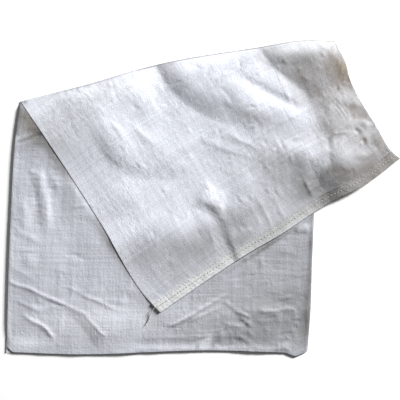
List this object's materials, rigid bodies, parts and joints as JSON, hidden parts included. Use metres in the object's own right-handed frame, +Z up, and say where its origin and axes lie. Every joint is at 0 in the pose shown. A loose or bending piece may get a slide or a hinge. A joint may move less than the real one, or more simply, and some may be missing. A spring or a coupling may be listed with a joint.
{
  "type": "woven cement sack",
  "caption": "Empty woven polypropylene cement sack lying flat, folded over once, with an open mouth and a sewn hem at its far end.",
  "frame": {"origin": "on the floor, under the middle of the object", "axes": "+X along the longest side, from the mouth's left corner towards the hem's right corner; +Y from the mouth towards the fold; +Z up"},
  "size_m": [0.65, 0.5201, 0.0208],
  "materials": {
    "woven_cloth": "semi-gloss woven polypropylene tape, natural white",
    "sewing_thread": "matt spun sewing thread, off-white"
  },
  "bodies": {
    "root": {"woven_sack": "woven_cloth", "seam_thread": "sewing_thread", "thread_tail": "sewing_thread"}
  },
  "joints": []
}
